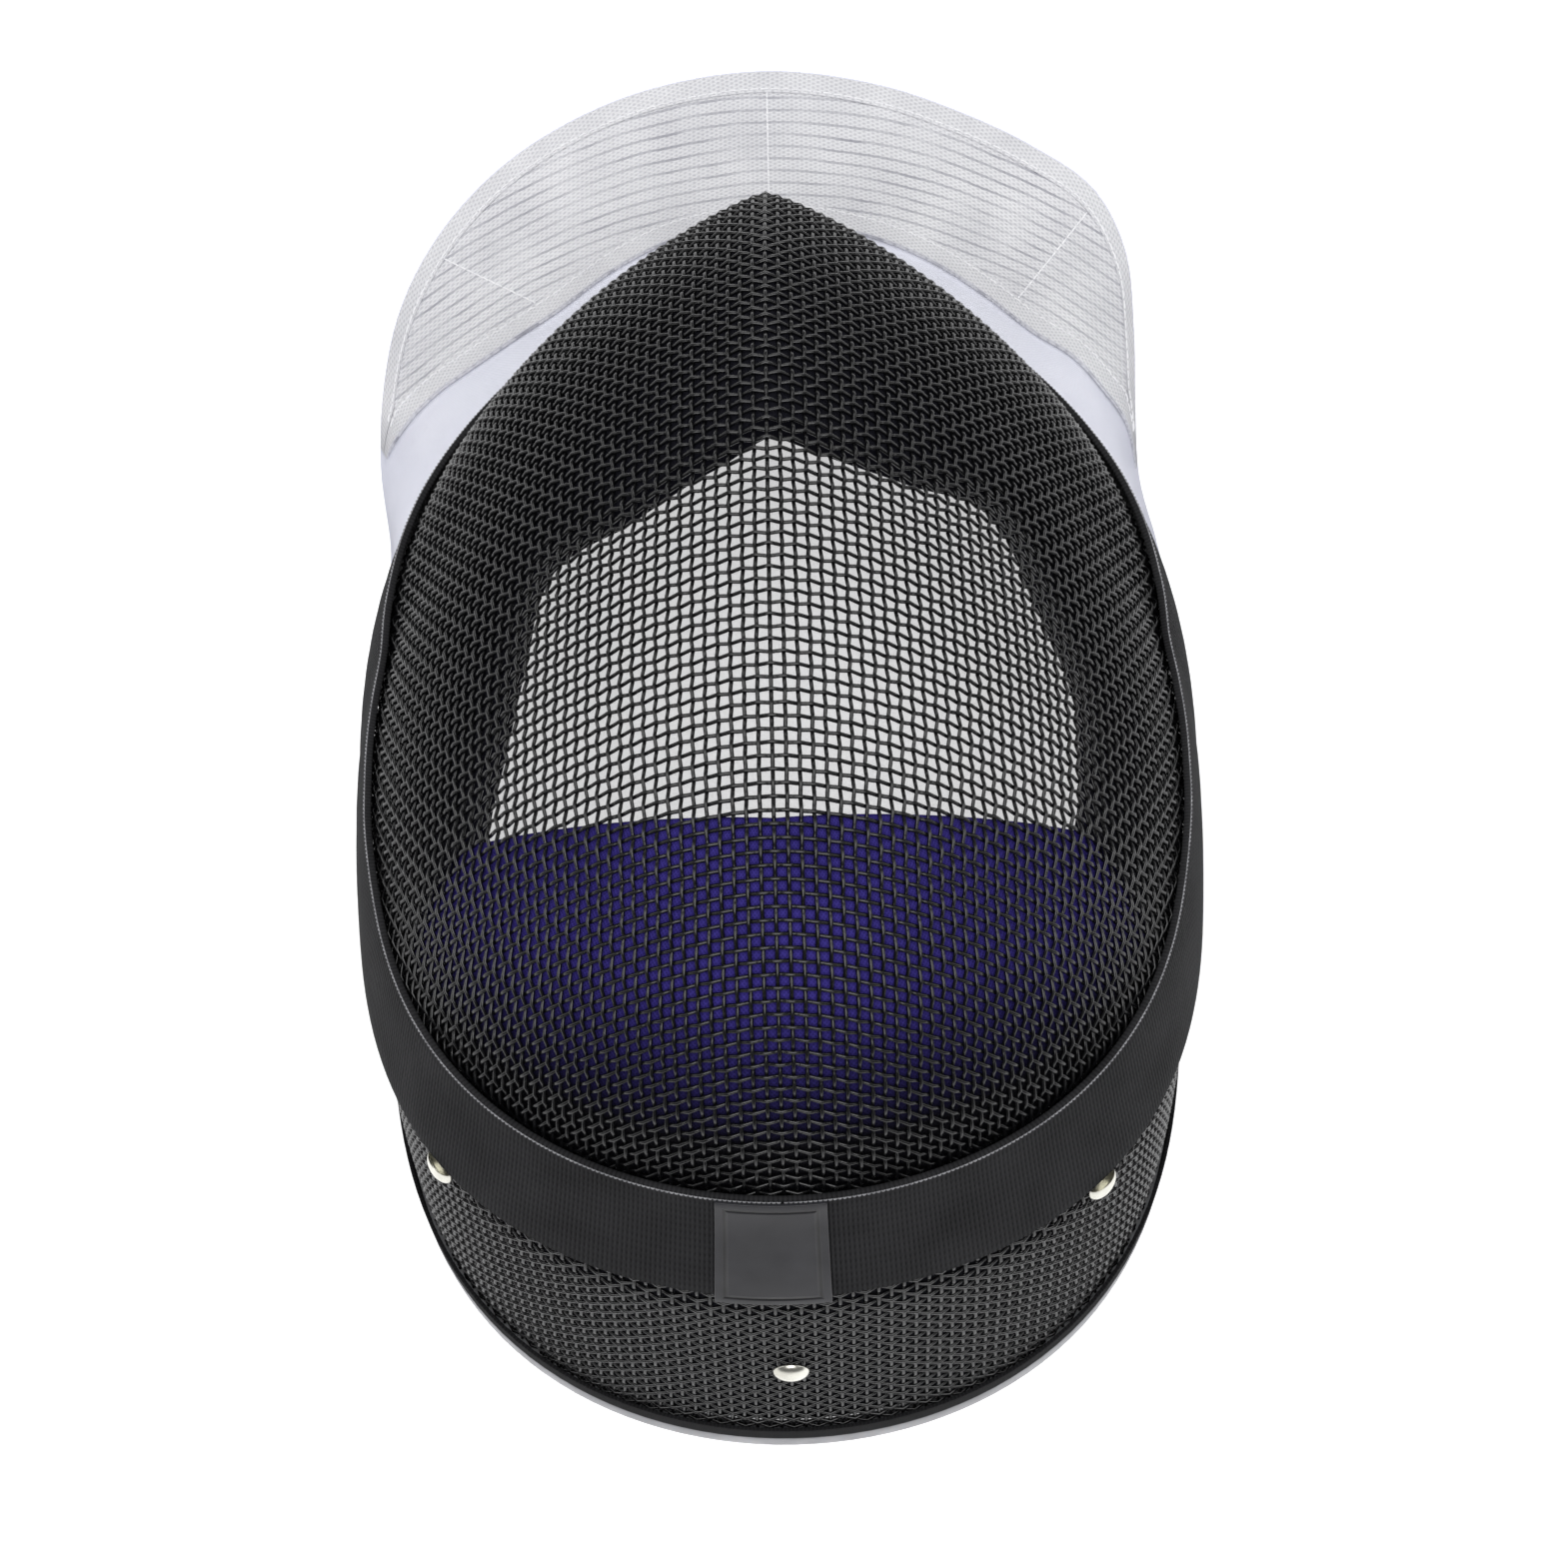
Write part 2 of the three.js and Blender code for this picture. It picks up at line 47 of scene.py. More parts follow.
# columns: angle round the ear axis, reach, side power, arch power
SHELL_SECTIONS = np.array([
    (-90, 205, 2.0, 3.3), (-60, 203, 2.0, 3.3), (-40, 191, 2.0, 3.3), (-25, 162.9, 2.0, 3.3),
    (-15, 147.6, 2.0, 3.3), (-5, 138.6, 2.0, 3.3), (3, 135, 1.99, 3.3), (10, 133.7, 1.98, 3.3),
    (25, 127.7, 1.95, 3.0),
    (38, 129.8, 1.91, 2.65), (50, 128.8, 1.87, 2.35), (65, 124.5, 1.7, 2.23),
    (80, 120.2, 1.54, 2.11), (100, 115.5, 1.4, 2.05), (120, 116.1, 1.38, 1.96),
    (140, 123.7, 1.42, 1.88), (156, 134.7, 1.3, 2.15), (170, 145.9, 1.2, 2.4),
    (182, 146.4, 1.2, 2.46), (200, 148, 1.35, 2.5), (225, 164, 1.7, 2.7),
    (250, 186, 2.0, 3.0), (270, 205, 2.0, 3.3),
], float)
SEAM_CENTRE = np.array((0, 126, 80.9))
SEAM_TILT = math.radians(15.4)
SEAM_NORMAL = np.array((0, math.sin(SEAM_TILT), math.cos(SEAM_TILT)))
# A ray's meeting with the shell is found by halving this reach.
RAY_REACH, HALVINGS = 280, 40
LEAST_FACING = 0.5

# Points of a path round the whole shell.
PATH_POINTS = 1200
# Woven wire.
PITCH = 3.0
WIRE_RADIUS = 0.47
CRIMP = 0.52
WIRE_SIDES = 6
SHORTEST_RUN = 4
THREAD_SIDES = 5
# Heights over the seam plane, or over the floor, that the nets are laid to and the wires end at.
FACE_NET_LOW, FACE_WIRE_LOW = -25, 13
CROWN_NET_HIGH, CROWN_WIRE_HIGH = 2, -8
CROWN_NET_FOOT, CROWN_WIRE_FOOT = 2, 6.8
CROWN_HOOP_PART = 0.55
# Solving for a crossing: steps, weight of the shell, longest move, largest miss and allowed skew.
NET_STEPS, SHELL_WEIGHT, NET_MOVE, NET_MISS = 8, 100, 1.5, 0.2
NET_SKEW = (0.35, 1.97)
# The face's ridge wire and first cross wire: angles, side reach and heights to search in.
RIDGE_ANGLES, RIDGE_POINTS = (20, 200), 3000
CROWN_ANGLES, CROWN_POINTS = (24, -30), 1500
BROW_REACH, BROW_POINTS, BROW_TOP, BROW_LOW = 97.5, 400, 230.0, 120
BROW_Y = 73.3
BROW_BOW = 0.00903
BROW_POWER = 1.7

BAND_LOW, BAND_HIGH = -13.7, 21
BAND_OUTER, BAND_THICK = 3.1, 1.5
LABEL_AZIMUTH = (math.radians(-7.2), math.radians(4.4))
LABEL_HEIGHT = (-14.2, 20.6)
LABEL_OUTER, LABEL_THICK = 4.45, 1.0
RIM_LOW, RIM_HEIGHT, RIM_HALF = 6.4, 6, 2.6
SEAM_GAP = 0.4
TAPE_HEIGHT = (6.4, 12.6)
TAPE_OUTER, TAPE_THICK = 2.5, 1.0
PAD_OUTER, PAD_BASE = -1.9, 4
FOREHEAD_HALF_ANGLE = math.radians(55)
FOREHEAD_EDGE_Y, FOREHEAD_EDGE_FALL = 86, 0.08
FOREHEAD_THICK, CHIN_THICK = 8, 6.5
CROWN_PAD_HALF_ANGLE, CROWN_PAD_PART = math.radians(78), (0.985, 0.1)
CROWN_PAD_OUTER, CROWN_PAD_THICK = -1.6, 5.1
# columns: turn from the chin towards the left, elevation of the pad's edge
CHIN_PAD_EDGE = np.array([
    (-124, 30), (-100, 35.4), (-82, 43), (-60, 47.5), (-51, 60.5), (-31, 69), (0, 71),
    (29, 72), (62, 64.7), (74, 52), (97, 48), (113, 41.6), (124, 32),
], float)
# columns: turn from the chin towards the left, reach of the lame's upper edge, reach of the hem,
# hem height
BIB_TABLE = np.array([
    (-67, 110.5, 111.5, 2), (-58, 119, 120, 2), (-50, 127.5, 128.8, 2), (-43.5, 136.5, 138, 2),
    (-38.5, 145.7, 152.3, 2), (-34, 148.7, 170.4, 2), (-30, 150.7, 188, 2.2), (-25.5, 151, 200.2, 2.4),
    (-20, 156.2, 205.5, 3), (-14, 162.1, 209.5, 4), (-8, 166, 213.2, 4.6), (0, 168, 215.6, 5),
    (8, 166, 213.9, 4.6), (14, 161, 210.1, 4), (20, 154.5, 204.2, 3), (25.5, 152.1, 196, 2.4),
    (30, 151.6, 187.2, 2.2), (34, 152.2, 177.6, 2), (38.5, 151.4, 164.6, 2), (43.5, 147.1, 149.8, 2),
    (50, 130, 131, 2), (58, 119, 120, 2), (67, 110.5, 111.5, 2),
], float)
BIB_HALF_TURN, BIB_TOP, BIB_FALL, BIB_OFFSET, BIB_THICK = 67, -15.2, 2.3, 2.9, 2.4
LAME_HALF_TURN, LAME_THICK, LAME_GAP, LAME_HEM_INSET = 42.5, 0.8, 0.35, 0.985
# The lame's lines run across it and bow towards the mask at both sides.
LAME_LINE_STEP, LAME_LINE_BOW = 3.7, 0.0038
FOLD_WIDTH, FOLD_THICK, FOLD_GAP = 6.0, 0.4, 0.1
# columns: turn and reach where a seam of the lame starts, turn and reach where it ends
LAME_SEAMS = [(0, 169, 0, 213.5), (21, 156, 28, 188), (-23, 158, -26, 196)]
# columns: azimuth, height over the seam plane, height that the head is cut at
RIVETS = {
    "rivet_centre": (0, -60, -30),
    "rivet_left": (-39.8, -16, -14.1),
    "rivet_right": (35, -16, -14.1),
}
RIVET_RADIUS, RIVET_RISE, RIVET_SEAT = 4.4, 2.4, 2.2


def table_at(table, place):
    """Smooth values of the further columns at places in the first column."""
    place = np.asarray(place, float)
    k = np.clip(np.searchsorted(table[:, 0], place) - 1, 0, len(table) - 2)
    before = table[np.maximum(k - 1, 0)]
    start = table[k]
    end = table[k + 1]
    after = table[np.minimum(k + 2, len(table) - 1)]
    span = end[..., 0] - start[..., 0]
    t = np.clip((place - start[..., 0]) / span, 0, 1)
    values = []
    for c in range(1, table.shape[1]):
        rise = end[..., c] - start[..., c]
        slope_a = (end[..., c] - before[..., c]) / (end[..., 0] - before[..., 0])
        slope_b = (after[..., c] - start[..., c]) / (after[..., 0] - start[..., 0])
        bend = 3 * rise - span * (2 * slope_a + slope_b)
        twist = span * (slope_a + slope_b) - 2 * rise
        values.append(start[..., c] + t * (span * slope_a + t * (bend + t * twist)))
    return values


def shell_value(p):
    up = p[..., 2] - EAR_Z
    back = EAR_Y - p[..., 1]
    angle = np.degrees(np.arctan2(up, back))
    angle = np.where(angle < -90, angle + 360, angle)
    reach, side_power, arch_power = table_at(SHELL_SECTIONS, angle)
    side = np.abs(p[..., 0]) / HALF_WIDTH
    return side ** side_power + (np.hypot(up, back) / reach) ** arch_power - 1


def shell_slope(p, step=0.05):
    axes = np.eye(3) * step
    return np.stack([(shell_value(p + a) - shell_value(p - a)) / (2 * step) for a in axes], -1)


def unit(v):
    return v / np.linalg.norm(v, axis=-1, keepdims=True)


def shell_point(centre, direction, offset):
    """Where rays from inside meet the shell, moved square to the wall by an offset."""
    near = np.zeros(direction.shape[:-1])
    far = near + RAY_REACH
    for _ in range(HALVINGS):
        middle = (near + far) / 2
        inside = shell_value(centre + direction * middle[..., None]) < 0
        near = np.where(inside, middle, near)
        far = np.where(inside, far, middle)
    hit = centre + direction * near[..., None]
    facing = np.maximum((unit(shell_slope(hit)) * direction).sum(-1), LEAST_FACING)
    return hit + direction * (offset / facing)[..., None]


def plane_direction(azimuth, tilt):
    azimuth, tilt = np.broadcast_arrays(azimuth, tilt)
    c = np.cos(azimuth)
    return np.stack([np.sin(azimuth), -c * np.cos(tilt), c * np.sin(tilt)], -1)


def seam_point(azimuth, height, offset):
    azimuth, height = np.broadcast_arrays(azimuth, height)
    centre = SEAM_CENTRE + SEAM_NORMAL * height[..., None]
    return shell_point(centre, plane_direction(azimuth, SEAM_TILT), offset)


def face_point(azimuth, elevation, offset):
    azimuth, elevation = np.broadcast_arrays(azimuth, elevation)
    flat = plane_direction(azimuth, SEAM_TILT) * np.cos(elevation)[..., None]
    return shell_point(SEAM_CENTRE, flat + SEAM_NORMAL * np.sin(elevation)[..., None], offset)


def level_point(azimuth, height, offset):
    azimuth, height = np.broadcast_arrays(azimuth, height)
    zero = np.zeros_like(height, float)
    centre = np.stack([zero, zero + SEAM_CENTRE[1], height], -1)
    return shell_point(centre, plane_direction(azimuth, 0), offset)


def crown_point(azimuth, part, offset):
    azimuth, part = np.broadcast_arrays(azimuth, part)
    top = SEAM_CENTRE - SEAM_NORMAL * SEAM_GAP
    low = np.array((0, SEAM_CENTRE[1], RIM_LOW))
    centre = top + (low - top) * part[..., None]
    return shell_point(centre, plane_direction(azimuth, SEAM_TILT * (1 - part)), offset)


def elevation_at(azimuth, height):
    p = seam_point(azimuth, np.full_like(azimuth, height, float), 0) - SEAM_CENTRE
    return np.arctan2(height, (p * plane_direction(azimuth, SEAM_TILT)).sum(-1))


def seam_height(p):
    return (p - SEAM_CENTRE) @ SEAM_NORMAL


def bib_point(turn, part):
    azimuth = math.pi + np.radians(turn)
    jaw = seam_point(azimuth, BIB_TOP, BIB_OFFSET)
    _, reach, height = table_at(BIB_TABLE, turn)
    hem = plane_direction(azimuth, 0) * reach[..., None]
    hem[..., 1] += SEAM_CENTRE[1]
    p = jaw + (hem - jaw) * part[..., None]
    p[..., 2] = height + (jaw[..., 2] - height) * (1 - part) ** BIB_FALL
    return p


def bib_layer(turn, part, offset):
    turn, part = np.broadcast_arrays(np.asarray(turn, float), np.asarray(part, float))
    along_part = bib_point(turn, np.minimum(part + 0.01, 1)) - bib_point(turn, np.maximum(part - 0.01, 0))
    along_turn = bib_point(turn + 1, part) - bib_point(turn - 1, part)
    normal = -unit(np.cross(along_turn, along_part))
    return bib_point(turn, part) + normal * np.asarray(offset)[..., None]


def part_at(turn, reach):
    """Share of the way from the jaw to the hem at which the bib has a reach."""
    jaw = bib_point(turn, np.zeros_like(turn))
    first = np.hypot(jaw[..., 0], jaw[..., 1] - SEAM_CENTRE[1])
    return (reach - first) / (table_at(BIB_TABLE, turn)[1] - first)


def lame_part(turn, v):
    start = np.maximum(part_at(turn, table_at(BIB_TABLE, turn)[0]), 0.05)
    return start + (LAME_HEM_INSET - start) * v


def lame_surface(turn, part, lift):
    top = BIB_THICK / 2 + LAME_GAP + LAME_THICK
    return bib_layer(turn, part, np.full_like(part, top + lift))


def to_frame(p):
    return (np.asarray(p, float) - (0, SHIFT_Y, 0)) * MM


# Making objects

def add_object(name, mesh, material, nodes=()):
    piece = bpy.data.objects.new(name, mesh)
    bpy.context.scene.collection.objects.link(piece)
    mesh.materials.append(material)
    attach(piece, "root")
    if nodes:
        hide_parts(*nodes)
    return piece


def grid_mesh(name, columns, rows, point_at, size, wrap=False, flat_at=None):
    """A shaped grid with its cloth lengths in millimetres as UV."""
    bm = bmesh.new()
    uv = bm.loops.layers.uv.new("cloth")
    bmesh.ops.create_grid(bm, x_segments=columns, y_segments=rows, size=0.5, calc_uvs=False)
    bm.verts.ensure_lookup_table()
    place = np.array([v.co[:2] for v in bm.verts]) + 0.5
    points = point_at(place[:, 0], place[:, 1])
    flat = flat_at(points) if flat_at else place * size
    for face in bm.faces:
        face.smooth = True
        for loop in face.loops:
            loop[uv].uv = flat[loop.vert.index]
    for vert, co in zip(bm.verts, to_frame(points)):
        vert.co = co
    if wrap:
        bmesh.ops.remove_doubles(bm, verts=bm.verts, dist=1e-6)
    mesh = bpy.data.meshes.new(name)
    bm.to_mesh(mesh)
    bm.free()
    return mesh


def thicken(piece, thick, bevel):
    """Gives a surface thickness on its inner side, and soft edges."""
    solid = piece.modifiers.new("thickness", "SOLIDIFY")
    solid.thickness = thick * MM
    solid.offset = -1.0
    edge = piece.modifiers.new("soft_edge", "BEVEL")
    edge.width = bevel * MM
    edge.segments = 3
    edge.limit_method = "ANGLE"
    edge.angle_limit = math.radians(50)
    return piece


def tube_mesh(name, lines, radius, sides):
    """One mesh of round wires. lines holds (points, normals) pairs in shell millimetres."""
    verts, faces, count = [], [], 0
    turn = 2 * math.pi * np.arange(sides) / sides
    for points, normals in lines:
        tangent = unit(np.gradient(points, axis=0))
        across = unit(np.cross(tangent, normals))
        rise = np.cross(across, tangent)
        ring = (across[:, None] * np.cos(turn)[None, :, None] + rise[:, None] * np.sin(turn)[None, :, None])
        verts.append((points[:, None] + radius * ring).reshape(-1, 3))
        k = len(points)
        a = np.arange(k - 1)[:, None] * sides + np.arange(sides)[None]
        b = np.arange(k - 1)[:, None] * sides + (np.arange(sides)[None] + 1) % sides
        quads = np.stack([a, b, b + sides, a + sides], -1).reshape(-1, 4) + count
        faces.append(quads)
        count += k * sides
    mesh = bpy.data.meshes.new(name)
    mesh.from_pydata(to_frame(np.concatenate(verts)), [], np.concatenate(faces).tolist())
    mesh.polygons.foreach_set("use_smooth", np.ones(len(mesh.polygons), bool))
    mesh.update()
    return mesh


def stitch_mesh(name, path, normals, pitch, length, radius):
    """A row of short threads along a path, each dipping into the cloth at both ends."""
    along = np.concatenate([[0], np.cumsum(np.linalg.norm(np.diff(path, axis=0), axis=1))])
    rise = radius * np.array((-0.7, 0.5, 0.8, 0.5, -0.7))
    lines = []
    for start in np.arange(0, along[-1] - length, pitch):
        at = start + length * np.linspace(0, 1, len(rise))
        points = np.stack([np.interp(at, along, path[:, k]) for k in range(3)], -1)
        facing = unit(np.stack([np.interp(at, along, normals[:, k]) for k in range(3)], -1))
        lines.append((points + facing * rise[:, None], facing))
    return tube_mesh(name, lines, radius, THREAD_SIDES)


# The weave: a net of even crossings laid on the shell from a ridge wire and one cross wire.

def even_steps(points, step):
    length = np.concatenate([[0], np.cumsum(np.linalg.norm(np.diff(points, axis=0), axis=1))])
    at = np.arange(0, length[-1], step)
    return np.stack([np.interp(at, length, points[:, k]) for k in range(3)], -1)


def net_quadrant(warp, weft, keep):
    """Crossings of one quarter of the net, from its first warp and its first weft."""
    rows, columns = len(warp), len(weft)
    net = np.full((rows, columns, 3), np.nan)
    net[:, 0] = warp
    net[0] = weft
    for diagonal in range(2, rows + columns - 1):
        i = np.arange(max(1, diagonal - columns + 1), min(rows, diagonal))
        j = diagonal - i
        a, b, c = net[i - 1, j], net[i, j - 1], net[i - 1, j - 1]
        good = np.isfinite(a + b + c).all(-1)
        if not good.any():
            continue
        i, j, a, b, c = i[good], j[good], a[good], b[good], c[good]
        q = a + b - c
        for _ in range(NET_STEPS):
            miss = np.stack([((q - a) ** 2).sum(-1) - PITCH ** 2, ((q - b) ** 2).sum(-1) - PITCH ** 2,
                             shell_value(q) * SHELL_WEIGHT], -1)
            rate = np.stack([2 * (q - a), 2 * (q - b), shell_slope(q) * SHELL_WEIGHT], -2)
            rate = rate + np.eye(3) * 1e-6
            move = np.linalg.solve(rate, miss[..., None])[..., 0]
            q = q - np.clip(move, -NET_MOVE, NET_MOVE)
        skew = np.linalg.norm(q - c, axis=-1) / PITCH
        even = (skew > NET_SKEW[0]) & (skew < NET_SKEW[1])
        fine = (np.abs(miss).max(-1) < NET_MISS) & even & keep(q)
        net[i[fine], j[fine]] = q[fine]
    return net


def mirrored_net(warp_up, warp_down, weft, keep):
    """The whole net: rows along the ridge, columns from the left side to the right."""
    upper = net_quadrant(warp_up, weft, keep)
    lower = net_quadrant(warp_down, weft, keep)
    half = np.concatenate([lower[:0:-1], upper])
    return np.concatenate([half[:, :0:-1] * (-1, 1, 1), half], axis=1)


def wire_lines(net, keep):
    """Crimped warp and weft lines through a net of crossings."""
    seen = np.isfinite(net).all(-1)
    seen[seen] = keep(net[seen])
    normal = np.zeros_like(net)
    normal[seen] = unit(shell_slope(net[seen]))
    i, j = np.indices(seen.shape)
    over = np.where((i + j) % 2 == 0, 1.0, -1.0)
    found = []
    for along in (0, 1):
        lines = []
        for k in range(seen.shape[1 - along]):
            take = (slice(None), k) if along == 0 else (k, slice(None))
            sign = over[take] * (1 if along == 0 else -1)
            run = np.flatnonzero(seen[take])
            for part in np.split(run, np.flatnonzero(np.diff(run) > 1) + 1):
                if len(part) < SHORTEST_RUN:
                    continue
                p, n = net[take][part], normal[take][part]
                crossing = p + n * (CRIMP * sign[part])[:, None]
                between = (p[1:] + p[:-1]) / 2
                points = np.empty((2 * len(p) - 1, 3))
                points[0::2], points[1::2] = crossing, between
                normals = np.empty_like(points)
                normals[0::2], normals[1::2] = n, unit(n[1:] + n[:-1])
                lines.append((points, normals))
        found.append(lines)
    return found


def face_net():
    angle = np.radians(np.linspace(*RIDGE_ANGLES, RIDGE_POINTS))
    reach = table_at(SHELL_SECTIONS, np.degrees(angle))[0]
    ridge = np.stack([0 * angle, EAR_Y - reach * np.cos(angle), EAR_Z + reach * np.sin(angle)], -1)
    first = int(np.argmin(np.abs(ridge[:, 1] - BROW_Y) + 1e3 * (ridge[:, 2] < BROW_LOW)))
    x = np.linspace(0, BROW_REACH, BROW_POINTS)
    y = BROW_Y - BROW_BOW * x ** BROW_POWER
    low, high = np.full_like(x, EAR_Z), np.full_like(x, BROW_TOP)
    for _ in range(HALVINGS):
        middle = (low + high) / 2
        inside = shell_value(np.stack([x, y, middle], -1)) < 0
        low, high = np.where(inside, middle, low), np.where(inside, high, middle)
    brow = np.stack([x, y, low], -1)
    keep = lambda p: seam_height(p) > FACE_NET_LOW
    brow = brow[(np.abs(shell_value(brow)) < 0.01) & keep(brow)]
    up, down = ridge[first:], ridge[first::-1]
    return mirrored_net(even_steps(up[keep(up)], PITCH), even_steps(down[keep(down)], PITCH),
                        even_steps(brow, PITCH), keep)


def crown_net():
    angle = np.radians(np.linspace(*CROWN_ANGLES, CROWN_POINTS))
    reach = table_at(SHELL_SECTIONS, np.degrees(angle))[0]
    line = np.stack([0 * angle, EAR_Y - reach * np.cos(angle), EAR_Z + reach * np.sin(angle)], -1)
    hoop = crown_point(np.linspace(0, math.pi, PATH_POINTS), CROWN_HOOP_PART, 0.0)
    first = int(np.argmin(np.linalg.norm(line - hoop[0], axis=1)))
    keep = lambda p: (seam_height(p) < CROWN_NET_HIGH) & (p[..., 2] > CROWN_NET_FOOT)
    up, down = line[first::-1], line[first:]
    return mirrored_net(even_steps(up[keep(up)], PITCH), even_steps(down[keep(down)], PITCH),
                        even_steps(hoop, PITCH), keep)


# Materials

def new_group(name, sockets_in, sockets_out):
    tree = bpy.data.node_groups.new(name, "ShaderNodeTree")
    for label, kind, value in sockets_in:
        socket = tree.interface.new_socket(name=label, in_out="INPUT", socket_type=kind)
        if value is not None:
            socket.default_value = value
    for label, kind in sockets_out:
        tree.interface.new_socket(name=label, in_out="OUTPUT", socket_type=kind)
    return tree, tree.nodes.new("NodeGroupInput"), tree.nodes.new("NodeGroupOutput")


def math_node(tree, kind, a, b=None):
    node = tree.nodes.new("ShaderNodeMath")
    node.operation = kind
    for k, value in enumerate((a, b)):
        if value is None:
            continue
        if isinstance(value, (int, float)):
            node.inputs[k].default_value = value
        else:
            tree.links.new(value, node.inputs[k])
    return node.outputs[0]


def weave_group():
    """Thread relief of a cloth, from lengths in millimetres and threads to the millimetre."""
    tree, inside, outside = new_group(
        "thread_relief",
        [("Place", "NodeSocketVector", None), ("Across", "NodeSocketFloat", 1.0),
         ("Along", "NodeSocketFloat", 1.0), ("Rib", "NodeSocketFloat", 0.0)],
        [("Height", "NodeSocketFloat"), ("Gap", "NodeSocketFloat")])
    split = tree.nodes.new("ShaderNodeSeparateXYZ")
    tree.links.new(inside.outputs["Place"], split.inputs[0])
    waves = []
    for axis, label in (("X", "Across"), ("Y", "Along")):
        scaled = math_node(tree, "MULTIPLY", split.outputs[axis], inside.outputs[label])
        waves.append(math_node(tree, "SINE", math_node(tree, "MULTIPLY", scaled, 2 * math.pi)))
    rest = math_node(tree, "SUBTRACT", 1.0, inside.outputs["Rib"])
    ribbed = math_node(tree, "ADD", inside.outputs["Rib"], math_node(tree, "MULTIPLY", waves[1], rest))
    both = math_node(tree, "MULTIPLY", waves[0], ribbed)
    height = math_node(tree, "ADD", math_node(tree, "MULTIPLY", both, 0.5), 0.5)
    tree.links.new(height, outside.inputs["Height"])
    depth = math_node(tree, "SUBTRACT", 1.0, height)
    tree.links.new(math_node(tree, "POWER", depth, 3.0), outside.inputs["Gap"])
    return tree


def mottle_group():
    """Slow uneven change over a surface, between two values."""
    tree, inside, outside = new_group(
        "uneven_tone",
        [("Place", "NodeSocketVector", None), ("Scale", "NodeSocketFloat", 20.0),
         ("Low", "NodeSocketFloat", 0.9), ("High", "NodeSocketFloat", 1.1)],
        [("Value", "NodeSocketFloat")])
    noise = tree.nodes.new("ShaderNodeTexNoise")
    noise.inputs["Detail"].default_value = 4.0
    tree.links.new(inside.outputs["Place"], noise.inputs["Vector"])
    tree.links.new(inside.outputs["Scale"], noise.inputs["Scale"])
    spread = tree.nodes.new("ShaderNodeMapRange")
    spread.inputs["From Min"].default_value = 0.3
    spread.inputs["From Max"].default_value = 0.7
    tree.links.new(noise.outputs[0], spread.inputs["Value"])
    tree.links.new(inside.outputs["Low"], spread.inputs["To Min"])
    tree.links.new(inside.outputs["High"], spread.inputs["To Max"])
    tree.links.new(spread.outputs[0], outside.inputs["Value"])
    return tree


def groove_group():
    """A sewn line that follows the edge of a patch at an even distance inside it."""
    tree, inside, outside = new_group(
        "sewn_line",
        [("Place", "NodeSocketVector", None), ("Wide", "NodeSocketFloat", 20.0),
         ("High", "NodeSocketFloat", 20.0), ("Inset", "NodeSocketFloat", 2.0),
         ("Half Width", "NodeSocketFloat", 0.7)],
        [("Mask", "NodeSocketFloat")])
    split = tree.nodes.new("ShaderNodeSeparateXYZ")
    tree.links.new(inside.outputs["Place"], split.inputs[0])
    nearest = []
    for axis, label in (("X", "Wide"), ("Y", "High")):
        far = math_node(tree, "SUBTRACT", inside.outputs[label], split.outputs[axis])
        nearest.append(math_node(tree, "MINIMUM", split.outputs[axis], far))
    away = math_node(tree, "SUBTRACT", math_node(tree, "MINIMUM", *nearest), inside.outputs["Inset"])
    share = math_node(tree, "DIVIDE", math_node(tree, "ABSOLUTE", away), inside.outputs["Half Width"])
    mask = math_node(tree, "SUBTRACT", 1.0, math_node(tree, "MINIMUM", share, 1.0))
    tree.links.new(mask, outside.inputs["Mask"])
    return tree


WEAVE = weave_group()
MOTTLE = mottle_group()
GROOVE = groove_group()


def srgb(red, green, blue):
    tone = lambda c: c / 255 / 12.92 if c < 10.3 else ((c / 255 + 0.055) / 1.055) ** 2.4
    return (tone(red), tone(green), tone(blue), 1.0)


def place_group(tree, group, **values):
    node = tree.nodes.new("ShaderNodeGroup")
    node.node_tree = group
    for label, value in values.items():
        if isinstance(value, (int, float)):
            node.inputs[label].default_value = value
        else:
            tree.links.new(value, node.inputs[label])
    return node


# Sockets of a Mix node that are in use when it mixes colours.
MIX_FACTOR, MIX_A, MIX_B, MIX_RESULT = 0, 6, 7, 2


def mix_colour(tree, factor, a, b):
    node = tree.nodes.new("ShaderNodeMix")
    node.data_type = "RGBA"
    for k, value in ((MIX_FACTOR, factor), (MIX_A, a), (MIX_B, b)):
        if isinstance(value, (tuple, float, int)):
            node.inputs[k].default_value = value
        else:
            tree.links.new(value, node.inputs[k])
    return node.outputs[MIX_RESULT]


def start_material(name, roughness, metallic):
    material = bpy.data.materials.new(name)
    material.use_nodes = True
    tree = material.node_tree
    shader = tree.nodes["Principled BSDF"]
    shader.inputs["Roughness"].default_value = roughness
    shader.inputs["Metallic"].default_value = metallic
    return material, tree, shader


def object_place(tree):
    return tree.nodes.new("ShaderNodeTexCoord").outputs["Object"]


def hard_material(name, dark, light, roughness, metallic, scale):
    """A hard finish whose tone and gloss change slowly over it."""
    material, tree, shader = start_material(name, roughness, metallic)
    place = object_place(tree)
    tone = place_group(tree, MOTTLE, Place=place, Scale=scale, Low=0.0, High=1.0)
    tree.links.new(mix_colour(tree, tone.outputs[0], dark, light), shader.inputs["Base Color"])
    gloss = place_group(tree, MOTTLE, Place=place, Scale=scale * 2.3, Low=roughness * 0.8,
                        High=roughness * 1.2)
    tree.links.new(gloss.outputs[0], shader.inputs["Roughness"])
    return material


CLOTH_GLOSS = 0.15
VINYL_GLOSS = 0.25


